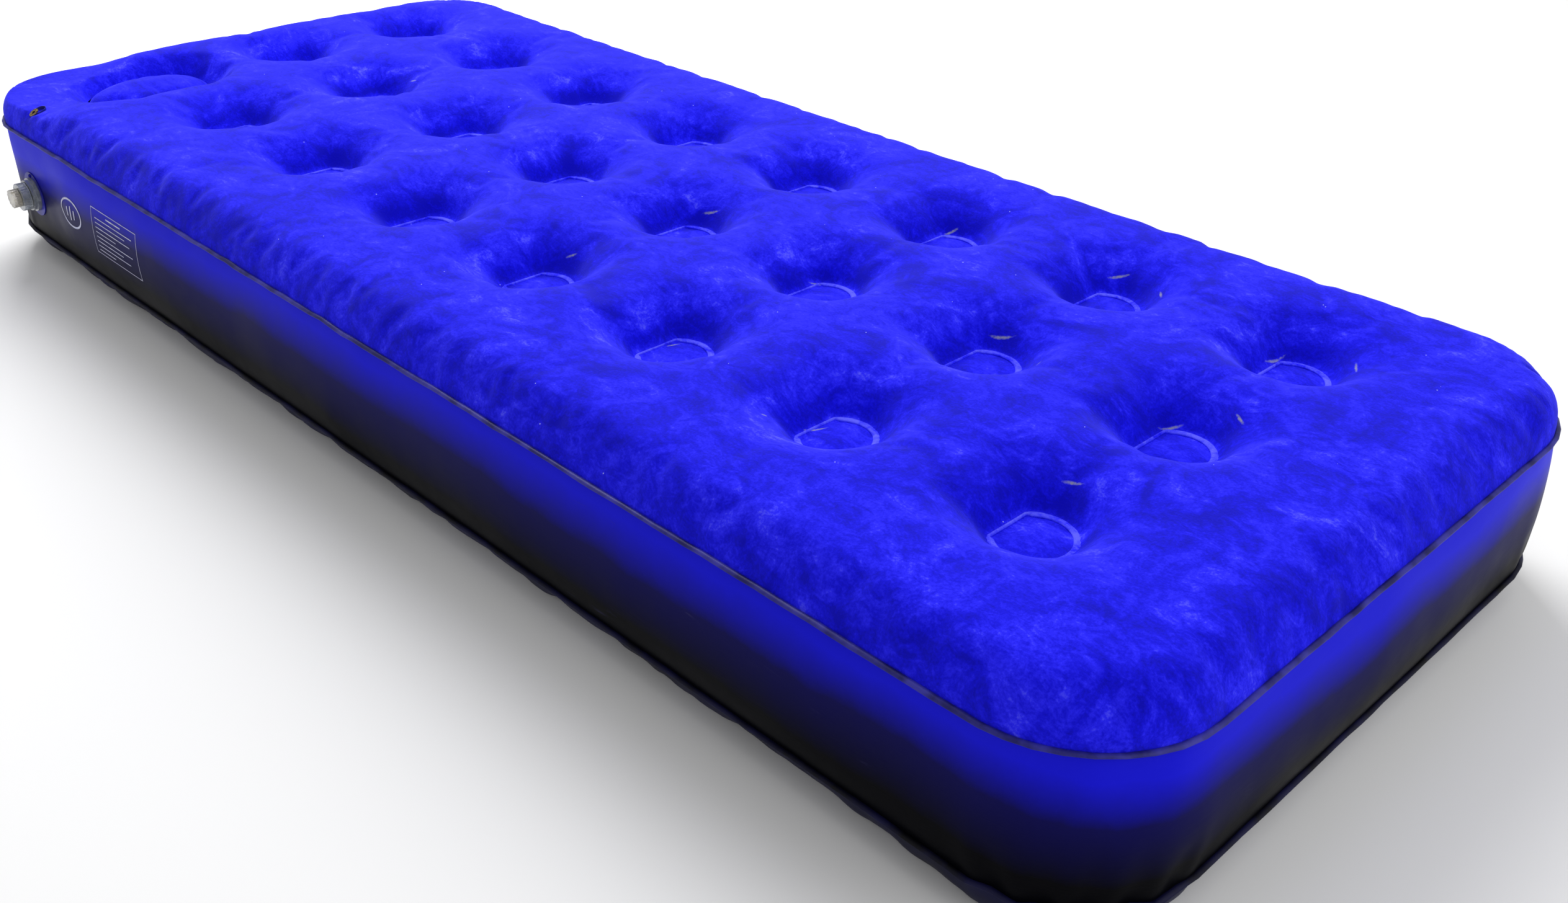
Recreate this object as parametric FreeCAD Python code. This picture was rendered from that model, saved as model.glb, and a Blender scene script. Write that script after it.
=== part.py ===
# Single flocked air bed with coil beams, a screw valve in its side and a built-in foot pump.
# Frame: +X towards the foot end, +Y away from the valve side, +Z up.
# The origin is at the middle of the underside.
import FreeCAD, Part
import math
import os
from FreeCAD import Vector

os.makedirs("parts", exist_ok=True)

# Driving dimensions, in millimetres.
length = 1880.0                 # head seam to foot seam
width = 766.0                   # seam to seam across the bed
height = 216.0                  # underside to crown, inflated
seam_drop = 37.0                # crown to seam, the same above and below
corner_radius = 117.0           # plan radius at the four corners
crown_radius = 36.0             # how the panels roll down to the side
film = 0.5                      # PVC film of the panels and the band
seam_lip = 6.0                  # how far the welded lip stands out
seam_thick = 3.0                # both films, fused and rolled over
face_gap = 0.1                  # between flat faces that part when a piece is unscrewed

# Coil beams: tubes of film that hold the two panels together.
coil_pitch_x = 218.0            # spacing along the bed
coil_pitch_y = 197.0            # spacing across the bed
coil_columns = 8
grid_x = -45.0                  # middle of the coil grid
grid_y = 8.0
weld_radius = 40.0              # round weld where a coil holds the panel
coil_radius = 39.0
coil_film = 0.4
coil_vent_radius = 6.0          # holes that let the air pass through a coil
dimple_depth = seam_drop - film  # crown to the weld, which lies level with the seam
dimple_mouth = 86.0             # radius of a dimple at the crown

# Foot pump, in the place of one coil.
pump_x = -806.0
pump_y = -205.0
pad_long = 160.0                # across the bed
pad_wide = 104.0                # along the bed
pad_top = 208.0
pad_skirt = 28.0                # height of the pad above its open edge
pad_film = 0.8
pad_round = 24.0
pad_gap = 2.0                   # pad to the ledge round it
ledge_top = 186.0
ledge_width = 8.0
recess_flare = 14.0             # how far the recess opens out towards the crown
pocket_floor = 120.0            # underside of the pump's pocket
pocket_gap = 8.0                # pad to the pocket wall
foam_gap = 0.6                  # foam to the film over it
outlet_radius = 15.0
outlet_bore = 6.0
outlet_thick = 4.0
flap_film = 0.8
flap_gap = 0.2                  # flap to its seat
outlet_flap_radius = 9.0

# Air intake of the pump, on the panel's rolled edge.
intake_x = -770.0
intake_roll = 21.0              # distance outwards from where the roll begins
eyelet_radius = 6.5
eyelet_barrel = 3.2
eyelet_bore = 2.4
eyelet_head = 1.2
duct_radius = 8.0
duct_level = 158.0              # height at which the duct meets the pocket
duct_set_in = 7.0               # duct's middle, inwards from the eyelet
intake_seat_top = 192.0
intake_seat_thick = 2.0
intake_seat_bore = 3.5
intake_flap_radius = 5.5

# Screw valve. Distances along it are from the side band, outwards.
valve_x = -795.0
valve_z = 97.0
flange_radius = 29.0
flange_top = 1.2
neck_radius = 22.0
neck_step = 5.5
neck_step_radius = 20.0
neck_top = 10.0
neck_sleeve_radius = 17.0
neck_sleeve_tail = -12.0
neck_bore = 14.4
washer_thick = 0.7
grip_radius = 18.0
grip_high = 10.0
grip_grooves = 28
groove_radius = 1.2
spigot_radius = 14.0
spigot_tail = -10.0
socket_radius = 9.5             # takes an inflator's nozzle
socket_floor = 3.0
floor_holes = 4
floor_hole_radius = 2.6
floor_hole_circle = 5.4
valve_flap_radius = 11.0
cap_washer_thick = 0.6
cap_radius = 12.0
cap_high = 9.3
cap_flutes = 12
flute_radius = 1.8
plug_radius = 9.0
plug_long = 8.0
plug_hollow = 6.5

wall_y = -width / 2
seam_top = height - seam_drop
seam_bottom = seam_drop
pocket_long = pad_long + 2 * pocket_gap
pocket_wide = pad_wide + 2 * pocket_gap
up = Vector(0, 0, 1)
down = Vector(0, 0, -1)
outwards = Vector(0, -1, 0)


def save(shape, node):
    piece = shape
    if shape.ShapeType == "Compound" and len(shape.Solids) == 1:
        piece = shape.Solids[0]
    if not piece.isValid() or len(piece.Solids) != 1:
        print("check", node, piece.isValid(), len(piece.Solids))
    piece.exportStep("parts/" + node + ".step")


def edges_at(shape, level):
    return [edge for edge in shape.Edges
            if abs(edge.BoundBox.ZMin - level) < 0.01 and abs(edge.BoundBox.ZMax - level) < 0.01]


def upright(x, y, radius, low, high):
    return Part.makeCylinder(radius, high - low, Vector(x, y, low), up)


# The bag: two panels and a band, with a pit at each coil weld.

def rounded_slab(grow, low, high):
    # The plan of the bed, larger by grow all round.
    long_side = length + 2 * grow
    short_side = width + 2 * grow
    box = Part.makeBox(long_side, short_side, high - low, Vector(-long_side / 2, -short_side / 2, low))
    corners = [edge for edge in box.Edges if edge.BoundBox.ZLength > 1.0]
    return box.makeFillet(corner_radius + grow, corners)


def pillow(inset):
    # The inflated form, rolled down to the side above and below.
    slab = rounded_slab(-inset, inset, height - inset)
    rims = edges_at(slab, inset) + edges_at(slab, height - inset)
    return slab.makeFillet(crown_radius - inset, rims)


def coil_centres():
    # Every coil but the one whose place the foot pump takes.
    for row_name, row in (("valve_side", -1), ("middle", 0), ("far_side", 1)):
        for column in range(1, coil_columns + 1):
            if (row, column) == (-1, 1):
                continue
            x = grid_x + (column - (coil_columns + 1) / 2) * coil_pitch_x
            y = grid_y + row * coil_pitch_y
            yield "coil_%s_%d" % (row_name, column), x, y


def dimples(grow):
    # Cone pits above and below each coil; grow moves them to the inner side of the film.
    floor = weld_radius + grow
    flare = (dimple_mouth - weld_radius) / dimple_depth
    tall = dimple_depth + grow + 1.0
    mouth = floor + flare * tall
    pits = []
    for node, x, y in coil_centres():
        pits.append(Part.makeCone(floor, mouth, tall, Vector(x, y, height - dimple_depth - grow), up))
        pits.append(Part.makeCone(floor, mouth, tall, Vector(x, y, dimple_depth + grow), down))
    return pits


def stadium_wire(long_y, wide_x, level):
    # A round-ended outline across the bed, centred on the pump.
    half = wide_x / 2
    straight = (long_y - wide_x) / 2
    near_y = pump_y - straight
    far_y = pump_y + straight
    head_near = Vector(pump_x - half, near_y, level)
    foot_near = Vector(pump_x + half, near_y, level)
    foot_far = Vector(pump_x + half, far_y, level)
    head_far = Vector(pump_x - half, far_y, level)
    near_end = Part.Arc(head_near, Vector(pump_x, near_y - half, level), foot_near).toShape()
    far_end = Part.Arc(foot_far, Vector(pump_x, far_y + half, level), head_far).toShape()
    foot_side = Part.makeLine(foot_near, foot_far)
    head_side = Part.makeLine(head_far, head_near)
    return Part.Wire([near_end, foot_side, far_end, head_side])


def stadium(long_y, wide_x, low, high):
    return Part.Face(stadium_wire(long_y, wide_x, low)).extrude(Vector(0, 0, high - low))


def pump_recess(grow):
    # The sunk outline round the pump's pad, opening out to the crown.
    long_y = pad_long + 2 * (pad_gap + ledge_width + grow)
    wide_x = pad_wide + 2 * (pad_gap + ledge_width + grow)
    floor = stadium_wire(long_y, wide_x, ledge_top - grow)
    mouth = stadium_wire(long_y + 2 * recess_flare, wide_x + 2 * recess_flare, height + 1)
    return Part.makeLoft([floor, mouth], True, True)


def layer(low, high):
    spare = 20.0
    corner = Vector(-length / 2 - spare, -width / 2 - spare, low)
    return Part.makeBox(length + 2 * spare, width + 2 * spare, high - low, corner)


def make_bag():
    outer = pillow(0).cut(dimples(0) + [pump_recess(0)])
    inner = pillow(film).cut(dimples(film) + [pump_recess(film)])
    skin = outer.cut(inner)
    pad_hole = stadium(pad_long + 2 * pad_gap, pad_wide + 2 * pad_gap, ledge_top - 5, ledge_top + 5)
    top = skin.common(layer(seam_top, height + 1))
    save(top.cut([pad_hole, intake_cylinder(eyelet_barrel, -5, 5)]), "top_panel")
    band = skin.common(layer(seam_bottom, seam_top))
    save(band.cut(valve_cylinder(neck_sleeve_radius, -5, 5)), "side_band")
    save(skin.common(layer(-1, seam_bottom)), "bottom_panel")


def make_seams():
    for node, level in (("top_seam_weld", seam_top), ("bottom_seam_weld", seam_bottom)):
        low = level - seam_thick / 2
        high = level + seam_thick / 2
        save(rounded_slab(seam_lip, low, high).cut(rounded_slab(0, low - 1, high + 1)), node)


def make_coils():
    low = dimple_depth + film
    high = height - dimple_depth - film
    for node, x, y in coil_centres():
        sleeve = upright(x, y, coil_radius, low, high)
        holes = [upright(x, y, coil_radius - coil_film, low - 1, high + 1)]
        for direction in (Vector(1, 0, 0), Vector(0, 1, 0)):
            start = Vector(x, y, height / 2) - direction * 2 * coil_radius
            holes.append(Part.makeCylinder(coil_vent_radius, 4 * coil_radius, start, direction))
        save(sleeve.cut(holes), node)


# The foot pump: a pad over a block of foam, in a pocket with a flap valve at each end.

def make_pump():
    floor = pocket_floor + film
    pad_low = pad_top - pad_skirt
    pad_under = pad_top - pad_film
    outer = stadium(pad_long, pad_wide, pad_low, pad_top)
    outer = outer.makeFillet(pad_round, edges_at(outer, pad_top))
    inner = stadium(pad_long - 2 * pad_film, pad_wide - 2 * pad_film, pad_low - 1, pad_under)
    inner = inner.makeFillet(pad_round - pad_film, edges_at(inner, pad_under))
    save(outer.cut(inner), "pump_pad")

    foam_inset = pad_film + foam_gap
    foam = stadium(pad_long - 2 * foam_inset, pad_wide - 2 * foam_inset, floor, pad_top - foam_inset)
    save(foam.makeFillet(pad_round - foam_inset, edges_at(foam, pad_top - foam_inset)), "pump_foam")

    rim_top = ledge_top - film
    shell = stadium(pocket_long + 2 * film, pocket_wide + 2 * film, pocket_floor, rim_top)
    rim = stadium(pad_long + 2 * (pad_gap + ledge_width), pad_wide + 2 * (pad_gap + ledge_width),
                  rim_top - film, rim_top)
    hollow = stadium(pocket_long, pocket_wide, floor, rim_top + 1)
    outlet_hole = upright(pump_x, pump_y, outlet_bore, pocket_floor - 1, floor + 1)
    save(shell.fuse(rim).cut([hollow, outlet_hole, level_duct(duct_radius - film)]), "pump_pocket")

    seat = upright(pump_x, pump_y, outlet_radius, pocket_floor - outlet_thick, pocket_floor)
    save(seat.cut(upright(pump_x, pump_y, outlet_bore, 0, height)), "outlet_seat")
    flap_top = pocket_floor - outlet_thick - flap_gap
    save(upright(pump_x, pump_y, outlet_flap_radius, flap_top - flap_film, flap_top), "outlet_flap")


# The pump's intake: an eyelet in the panel, a flap below it and a duct to the pocket.

roll_angle = math.asin(intake_roll / crown_radius)
intake_normal = Vector(0, -math.sin(roll_angle), math.cos(roll_angle))
roll_centre = Vector(intake_x, wall_y + crown_radius, height - crown_radius)
intake_point = roll_centre + intake_normal * crown_radius
duct_y = intake_point.y + duct_set_in


def intake_cylinder(radius, start, stop):
    return Part.makeCylinder(radius, stop - start, intake_point + intake_normal * start, intake_normal)


def level_duct(radius):
    start = Vector(intake_x, duct_y, duct_level)
    return Part.makeCylinder(radius, pump_y - duct_y, start, Vector(0, 1, 0))


def duct_form(radius):
    # Down from the panel, round a ball corner and level into the pocket.
    drop = upright(intake_x, duct_y, radius, duct_level, height)
    corner = Part.makeSphere(radius, Vector(intake_x, duct_y, duct_level))
    return drop.fuse([corner, level_duct(radius)])


def make_intake():
    head = intake_cylinder(eyelet_radius, 0, eyelet_head)
    barrel = intake_cylinder(eyelet_barrel, -film - eyelet_head, eyelet_head)
    save(head.fuse(barrel).cut(intake_cylinder(eyelet_bore, -5, 5)), "intake_eyelet")

    pocket = stadium(pocket_long + 2 * film, pocket_wide + 2 * film, pocket_floor, ledge_top)
    duct = duct_form(duct_radius).cut(duct_form(duct_radius - film)).common(pillow(film)).cut(pocket)
    eyelet_room = intake_cylinder(eyelet_barrel + 1, -5, 5)
    save(duct.cut(eyelet_room), "intake_duct")

    seat_low = intake_seat_top - intake_seat_thick
    seat = upright(intake_x, duct_y, duct_radius - film, seat_low, intake_seat_top)
    save(seat.cut(upright(intake_x, duct_y, intake_seat_bore, 0, height)), "intake_seat")
    flap_top = seat_low - flap_gap
    save(upright(intake_x, duct_y, intake_flap_radius, flap_top - flap_film, flap_top), "intake_flap")


# The screw valve: a blue weld flange, a clear neck, a screwed body with its flap, and a cap.

def valve_cylinder(radius, start, stop, turn=0.0, off_axis=0.0):
    angle = math.radians(turn)
    x = valve_x + off_axis * math.cos(angle)
    z = valve_z + off_axis * math.sin(angle)
    return Part.makeCylinder(radius, stop - start, Vector(x, wall_y - start, z), outwards)


def valve_ring(radius, bore, start, stop):
    return valve_cylinder(radius, start, stop).cut(valve_cylinder(bore, start - 1, stop + 1))


def around(count, radius, off_axis, start, stop):
    return [valve_cylinder(radius, start, stop, 360.0 * k / count, off_axis) for k in range(count)]


def make_valve():
    nub = Part.makeSphere(2.5, Vector(valve_x, wall_y - flange_top, valve_z + flange_radius - 4))
    nub = nub.common(valve_cylinder(flange_radius, 0, 2 * flange_radius))
    save(valve_ring(flange_radius, neck_sleeve_radius, 0, flange_top).fuse(nub), "valve_flange")

    neck = valve_cylinder(neck_radius, flange_top, neck_step)
    neck = neck.fuse([valve_cylinder(neck_step_radius, flange_top, neck_top),
                      valve_cylinder(neck_sleeve_radius, neck_sleeve_tail, neck_top)])
    save(neck.cut(valve_cylinder(neck_bore, neck_sleeve_tail - 1, neck_top + 1)), "valve_neck")

    washer_low = neck_top + face_gap
    washer_top = washer_low + washer_thick
    save(valve_ring(neck_sleeve_radius, spigot_radius + 0.4, washer_low, washer_top), "valve_washer")

    grip_low = washer_top + face_gap
    grip_top = grip_low + grip_high
    body = valve_cylinder(grip_radius, grip_low, grip_top)
    body = body.cut(around(grip_grooves, groove_radius, grip_radius, grip_low - 1, grip_top + 1))
    body = body.fuse(valve_cylinder(spigot_radius, spigot_tail, grip_top))
    socket = valve_cylinder(socket_radius, spigot_tail + socket_floor, grip_top + 1)
    holes = around(floor_holes, floor_hole_radius, floor_hole_circle, spigot_tail - 1, grip_top)
    save(body.cut([socket] + holes), "valve_body")

    flap_top = spigot_tail - flap_gap
    save(valve_cylinder(valve_flap_radius, flap_top - flap_film, flap_top), "valve_flap")

    seal_low = grip_top + face_gap
    seal_top = seal_low + cap_washer_thick
    save(valve_ring(cap_radius - 1, plug_radius + 0.3, seal_low, seal_top), "cap_washer")

    cap_low = seal_top + face_gap
    cap_top = cap_low + cap_high
    cap = valve_cylinder(cap_radius, cap_low, cap_top)
    cap = cap.cut(around(cap_flutes, flute_radius, cap_radius + 0.6, cap_low + 1.5, cap_top + 1))
    cap = cap.fuse(valve_cylinder(plug_radius, cap_low - plug_long, cap_low))
    save(cap.cut(valve_cylinder(plug_hollow, cap_low - plug_long - 1, cap_low + cap_high / 2)), "valve_cap")


make_bag()
make_seams()
make_coils()
make_pump()
make_intake()
make_valve()
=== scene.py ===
import bpy
import math
import numpy as np
from mathutils import Euler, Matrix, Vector, noise
from mathutils.bvhtree import BVHTree


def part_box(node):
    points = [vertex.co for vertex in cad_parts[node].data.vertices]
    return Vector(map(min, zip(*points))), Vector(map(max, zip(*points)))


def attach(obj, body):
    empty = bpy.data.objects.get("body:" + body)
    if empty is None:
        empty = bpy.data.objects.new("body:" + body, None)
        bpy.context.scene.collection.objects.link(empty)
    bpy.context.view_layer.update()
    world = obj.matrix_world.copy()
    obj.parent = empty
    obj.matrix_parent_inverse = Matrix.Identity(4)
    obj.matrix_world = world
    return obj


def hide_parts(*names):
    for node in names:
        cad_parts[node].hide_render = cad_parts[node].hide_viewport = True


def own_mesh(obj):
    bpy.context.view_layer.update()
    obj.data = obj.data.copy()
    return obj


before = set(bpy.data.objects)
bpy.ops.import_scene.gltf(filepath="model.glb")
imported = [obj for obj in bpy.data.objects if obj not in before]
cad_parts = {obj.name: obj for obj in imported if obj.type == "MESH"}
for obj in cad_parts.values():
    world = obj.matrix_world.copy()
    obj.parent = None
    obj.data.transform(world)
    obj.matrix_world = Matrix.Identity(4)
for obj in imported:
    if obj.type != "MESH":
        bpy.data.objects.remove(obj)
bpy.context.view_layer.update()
print("frame loaded:", len(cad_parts), "nodes")

# What every piece is measured from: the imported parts.
bandLow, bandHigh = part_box("side_band")
topLow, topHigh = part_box("top_panel")
padLow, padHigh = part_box("pump_pad")
flangeLow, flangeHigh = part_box("valve_flange")
eyeletLow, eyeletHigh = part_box("intake_eyelet")

bag = {
    "halfLong": bandHigh.x,
    "halfWide": bandHigh.y,
    "cornerRadius": 0.117,
    "seamTop": bandHigh.z,
    "seamLow": bandLow.z,
    "crown": topHigh.z,
    "film": 0.0005,
}
coilBoxes = [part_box(node) for node in sorted(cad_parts) if node.startswith("coil_")]
coilCentres = np.array([((low.x + high.x) / 2, (low.y + high.y) / 2) for low, high in coilBoxes])
weldLevel = coilBoxes[0][1].z + bag["film"] + 0.004     # the air lifts the weld a little off the coil's rim
weldRadius = 0.040
weldChord = 0.031                      # the weld is cut straight on its head side, this far from its middle
pumpCentre = (padLow + padHigh) / 2
valveCentre = (flangeLow + flangeHigh) / 2
eyeletCentre = (eyeletLow + eyeletHigh) / 2


# Small helpers.

def deselectAll():
    if bpy.context.object and bpy.context.object.mode != "OBJECT":
        bpy.ops.object.mode_set(mode="OBJECT")
    bpy.ops.object.select_all(action="DESELECT")


def makeActive(piece):
    deselectAll()
    piece.select_set(True)
    bpy.context.view_layer.objects.active = piece


def readPoints(piece):
    points = np.zeros(len(piece.data.vertices) * 3)
    piece.data.vertices.foreach_get("co", points)
    return points.reshape(-1, 3)


def writePoints(piece, points):
    piece.data.vertices.foreach_set("co", points.ravel())
    piece.data.update()


def edgePoints(piece):
    # The points on the free edges of a film: those of edges with one face.
    faces = {}
    for face in piece.data.polygons:
        for key in face.edge_keys:
            faces[key] = faces.get(key, 0) + 1
    free = np.zeros(len(piece.data.vertices), bool)
    for (start, end), count in faces.items():
        if count == 1:
            free[[start, end]] = True
    return free


def selectPoints(piece, chosen):
    # Leaves the piece in edit mode with only the chosen points selected.
    makeActive(piece)
    bpy.ops.object.mode_set(mode="EDIT")
    bpy.ops.mesh.select_mode(type="VERT")
    bpy.ops.mesh.select_all(action="DESELECT")
    bpy.ops.object.mode_set(mode="OBJECT")
    piece.data.vertices.foreach_set("select", np.asarray(chosen, bool))
    bpy.ops.object.mode_set(mode="EDIT")


def applyModifier(piece, kind, **settings):
    makeActive(piece)
    modifier = piece.modifiers.new(kind.title(), kind)
    for name, value in settings.items():
        setattr(modifier, name, value)
    bpy.ops.object.modifier_apply(modifier=modifier.name)


def smoothPiece(piece, levels=1):
    if levels:
        applyModifier(piece, "SUBSURF", levels=levels, render_levels=levels)
    makeActive(piece)
    bpy.ops.object.shade_smooth()


def settle(piece, name, body, material):
    makeActive(piece)
    bpy.ops.object.transform_apply(location=True, rotation=True, scale=True)
    piece.name = name
    piece.data.name = name
    piece.data.materials.clear()
    piece.data.materials.append(material)
    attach(piece, body)
    return piece


def hexToLinear(code):
    channels = [int(code[i:i + 2], 16) / 255 for i in (1, 3, 5)]
    return [c / 12.92 if c <= 0.04045 else ((c + 0.055) / 1.055) ** 2.4 for c in channels] + [1.0]


def addNode(tree, kind, settings=(), links=()):
    node = tree.nodes.new(kind)
    for name, value in dict(settings).items():
        if name == "stops":
            ramp = node.color_ramp.elements
            while len(ramp) < len(value):
                ramp.new(0.5)
            for element, (place, code) in zip(ramp, value):
                element.position = place
                element.color = hexToLinear(code)
        elif isinstance(name, int) or name in node.inputs:
            node.inputs[name].default_value = value
        else:
            setattr(node, name, value)
    for name, socket in dict(links).items():
        tree.links.new(socket, node.inputs[name])
    return node


def smoothNoise(points, size, seed):
    # One value from -1 to 1 for each point; size is the width of a swell, in metres.
    place = Vector((seed * 17.3, seed * 5.1, seed * 9.7))
    return np.array([noise.noise(Vector(p) / size + place) for p in points])


def fade(value, start, end):
    share = np.clip((value - start) / (end - start), 0, 1)
    return share * share * (3 - 2 * share)


# Materials.

def newMaterial(name):
    material = bpy.data.materials.new(name)
    material.use_nodes = True
    material.node_tree.nodes["Principled BSDF"].inputs["IOR"].default_value = 1.5
    return material, material.node_tree, material.node_tree.nodes["Principled BSDF"]


flock = {
    "deep": "#0d0bb8",
    "mid": "#1412dc",
    "lit": "#2826fb",
    # Painted highlight colour, reached where the noise is highest and on the painted fold highlights.
    "wearAndPaintedLight": "#6466ff",
    "cloudMm": 66.0,                  # blotches where the pile lies another way
    "strokeMm": 26.0,                 # hand strokes in the pile
    "grainMm": 2.4,                   # pile tufts, drawn coarser than the real 0.3 mm to show
    "lintMm": 30.0,                   # spacing of the lint specks
    "pileDepth": 0.0006,
    "sheen": 0.60,
}


scuff = {
    "halfLong": 0.013,
    "halfWide": 0.0019,
    "colour": "#a4a498",
    # The weld that each mark lies by, its place from the weld's middle, its turn, and its length.
    "marks": [("coil_valve_side_7", -0.024, -0.002, 66, 1.3), ("coil_valve_side_7", -0.041, -0.048, 80, 0.4),
              ("coil_valve_side_8", -0.008, 0.058, 20, 1.0), ("coil_valve_side_6", -0.020, 0.016, 70, 0.9),
              ("coil_valve_side_5", -0.012, 0.052, 40, 0.7), ("coil_valve_side_4", 0.046, 0.022, 110, 0.8),
              ("coil_middle_8", -0.024, 0.030, 50, 1.2), ("coil_middle_8", 0.030, 0.052, 150, 0.8),
              ("coil_middle_7", -0.014, 0.046, 25, 1.4), ("coil_middle_7", 0.056, 0.010, 95, 0.9),
              ("coil_middle_6", -0.026, 0.022, 60, 1.2), ("coil_middle_5", -0.010, 0.050, 30, 1.1),
              ("coil_middle_3", 0.050, -0.016, 100, 0.9), ("coil_far_side_8", -0.030, 0.020, 75, 1.5),
              ("coil_far_side_8", 0.048, 0.030, 120, 1.1), ("coil_far_side_7", -0.018, 0.048, 35, 1.3),
              ("coil_far_side_7", 0.044, 0.034, 130, 0.8), ("coil_far_side_6", -0.022, 0.034, 55, 1.0),
              ("coil_far_side_4", 0.052, 0.012, 100, 0.9), ("coil_middle_2", 0.010, 0.058, 10, 0.8)],
}


def scuffMask(tree, coords):
    # Short thin marks where the pile is rubbed through to the pale film.
    mask = None
    for node, offX, offY, turn, long in scuff["marks"]:
        low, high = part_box(node)
        place = ((low.x + high.x) / 2 + offX, (low.y + high.y) / 2 + offY, bag["seamTop"])
        spot = addNode(tree, "ShaderNodeMapping",
                       {"vector_type": "TEXTURE", "Location": place, "Rotation": (0, 0, math.radians(turn)),
                        "Scale": (scuff["halfLong"] * long, scuff["halfWide"], 1.0)},
                       {"Vector": coords})
        ball = addNode(tree, "ShaderNodeTexGradient", {"gradient_type": "SPHERICAL"}, {0: spot.outputs[0]})
        if mask is None:
            mask = ball.outputs["Fac"]
        else:
            mask = addNode(tree, "ShaderNodeMath", {"operation": "MAXIMUM"},
                           {0: mask, 1: ball.outputs["Fac"]}).outputs[0]
    return mask


def flockedFilm(name, lift=0.0, scuffs=True):
    # Nylon flock on PVC film: a short pile, deep blue face on and paler at a glancing angle.
    material, tree, surface = newMaterial(name)
    coords = addNode(tree, "ShaderNodeTexCoord")
    cloud = addNode(tree, "ShaderNodeTexNoise",
                    {"Scale": 1000 / flock["cloudMm"], "Detail": 6.0, "Roughness": 0.62, "Distortion": 1.3},
                    {"Vector": coords.outputs["Object"]})
    turned = addNode(tree, "ShaderNodeMapping", {"Scale": (0.85, 1.35, 1.0), "Rotation": (0, 0, 0.9)},
                     {"Vector": coords.outputs["Object"]})
    stroke = addNode(tree, "ShaderNodeTexNoise",
                     {"Scale": 1000 / flock["strokeMm"], "Detail": 5.0, "Roughness": 0.68, "Distortion": 2.4},
                     {"Vector": turned.outputs[0]})
    grain = addNode(tree, "ShaderNodeTexNoise",
                    {"Scale": 1000 / flock["grainMm"], "Detail": 2.0, "Roughness": 0.7},
                    {"Vector": coords.outputs["Object"]})
    # lift raises the whole colour ramp; on the weld rings it is a painted sheen.
    half = addNode(tree, "ShaderNodeMath", {"operation": "MULTIPLY_ADD", 1: 0.62, 2: lift - 0.10},
                   {0: cloud.outputs[0]})
    more = addNode(tree, "ShaderNodeMath", {"operation": "MULTIPLY_ADD", 1: 0.36},
                   {0: stroke.outputs[0], 2: half.outputs[0]})
    tufts = addNode(tree, "ShaderNodeMath", {"operation": "MULTIPLY_ADD", 1: 0.22},
                    {0: grain.outputs[0], 2: more.outputs[0]})
    # This point attribute adds painted highlight on the folds round the welds and painted shade in the pits beside
    # them.
    nap = addNode(tree, "ShaderNodeAttribute", {"attribute_name": "nap"})
    height = addNode(tree, "ShaderNodeMath", {"operation": "ADD"},
                     {0: tufts.outputs[0], 1: nap.outputs["Fac"]})
    colour = addNode(tree, "ShaderNodeValToRGB",
                     {"stops": [(0.40, flock["deep"]), (0.50, flock["mid"]), (0.60, flock["lit"]),
                                (0.76, flock["wearAndPaintedLight"])]},
                     {0: height.outputs[0]})
    cells = addNode(tree, "ShaderNodeTexVoronoi", {"Scale": 1000 / flock["lintMm"]},
                    {"Vector": coords.outputs["Object"]})
    speck = addNode(tree, "ShaderNodeMath", {"operation": "LESS_THAN", 1: 0.019}, {0: cells.outputs[0]})
    last = addNode(tree, "ShaderNodeMix", {"data_type": "RGBA", 7: hexToLinear("#b9bcf6")},
                   {0: speck.outputs[0], 6: colour.outputs[0]})
    if scuffs:
        ragged = addNode(tree, "ShaderNodeTexNoise", {"Scale": 420.0, "Detail": 3.0},
                         {"Vector": coords.outputs["Object"]})
        wearAndPaintedLight = addNode(tree, "ShaderNodeMath", {"operation": "MULTIPLY"},
                       {0: scuffMask(tree, coords.outputs["Object"]), 1: ragged.outputs[0]})
        cut = addNode(tree, "ShaderNodeMapRange", {1: 0.12, 2: 0.40, 4: 0.70}, {0: wearAndPaintedLight.outputs[0]})
        last = addNode(tree, "ShaderNodeMix", {"data_type": "RGBA", 7: hexToLinear(scuff["colour"])},
                       {0: cut.outputs[0], 6: last.outputs[2]})
    bump = addNode(tree, "ShaderNodeBump", {"Strength": 0.55, "Distance": flock["pileDepth"]},
                   {"Height": grain.outputs[0]})
    tree.links.new(last.outputs[2], surface.inputs["Base Color"])
    tree.links.new(bump.outputs[0], surface.inputs["Normal"])
    surface.inputs["Roughness"].default_value = 0.95
    surface.inputs["Specular IOR Level"].default_value = 0.08
    surface.inputs["Sheen Weight"].default_value = flock["sheen"]
    surface.inputs["Sheen Roughness"].default_value = 0.40
    surface.inputs["Sheen Tint"].default_value = hexToLinear("#6668ff")
    return material


# The band's colour stops and end shifts are painted light and shade: dark towards the ground, with the blue reaching
# lower at the two ends where more light falls.
sidePvc = {
    "top": "#1818d8",
    "middle": "#100e50",
    "foot": "#030307",
    "footShift": 0.06,                # the blue reaches lower at the foot end
    "headShift": 0.17,                # and lower still at the head end
    "smudgeMm": 120.0,
    "scratchMm": 14.0,
}


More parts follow.
